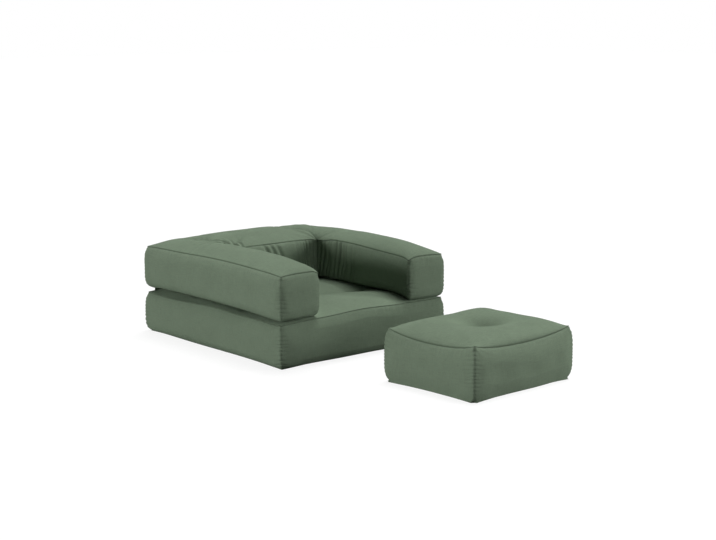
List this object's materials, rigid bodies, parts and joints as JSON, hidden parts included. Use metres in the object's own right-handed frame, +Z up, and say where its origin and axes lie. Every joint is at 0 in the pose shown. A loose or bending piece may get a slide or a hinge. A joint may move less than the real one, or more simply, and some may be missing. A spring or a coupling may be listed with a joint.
{
  "type": "chair bed",
  "caption": "Soft frameless chair bed: a seat cushion, a U-shaped cushion of arms and back that folds out over the rear edge to lie flat, and a loose pouf that fills its notch.",
  "frame": {"origin": "on the floor, under the middle of the seat cushion's flat underside", "axes": "+X to the right as seen from the open front, +Y to the rear, +Z up"},
  "size_m": [0.936, 1.9395, 0.4484],
  "materials": {
    "cover_cloth": "matte plain weave",
    "hinge_cloth": "matte plain weave",
    "tuft_cord": "matte twisted",
    "felt": "matte felted",
    "foam": "matte open cells"
  },
  "bodies": {
    "seat": {"seat_bottom_panel": "cover_cloth", "seat_top_panel": "cover_cloth", "seat_front_band": "cover_cloth", "seat_left_band": "cover_cloth", "seat_right_band": "cover_cloth", "seat_rear_band": "cover_cloth", "seat_foam_core": "foam", "seat_upper_felt": "felt", "seat_lower_felt": "felt", "seat_tuft_ties": "tuft_cord"},
    "arms": {"arms_top_panel": "cover_cloth", "arms_bottom_panel": "cover_cloth", "left_arm_outer_band": "cover_cloth", "right_arm_outer_band": "cover_cloth", "back_outer_band": "cover_cloth", "left_arm_front_panel": "cover_cloth", "right_arm_front_panel": "cover_cloth", "inner_band": "cover_cloth", "left_arm_foam_core": "foam", "right_arm_foam_core": "foam", "back_foam_core": "foam", "arms_upper_felt": "felt", "arms_lower_felt": "felt", "arms_tuft_ties": "tuft_cord", "hinge_cloth": "hinge_cloth"},
    "pouf": {"pouf_bottom_panel": "cover_cloth", "pouf_top_panel": "cover_cloth", "pouf_front_band": "cover_cloth", "pouf_left_band": "cover_cloth", "pouf_right_band": "cover_cloth", "pouf_rear_band": "cover_cloth", "pouf_foam_core": "foam", "pouf_upper_felt": "felt", "pouf_lower_felt": "felt", "pouf_tuft_ties": "tuft_cord"}
  },
  "joints": [
    {"name": "backrest_fold", "type": "hinge", "parent": "seat", "child": "arms", "pos_m": [0, 0.53, 0.22522], "axis": [-1, 0, 0], "range_deg": [0, 180], "deforming": ["hinge_cloth"]},
    {"name": "pouf_slide", "type": "slide", "parent": "seat", "child": "pouf", "axis": [0, 1, 0], "range_m": [-0.3, 0.32]}
  ]
}
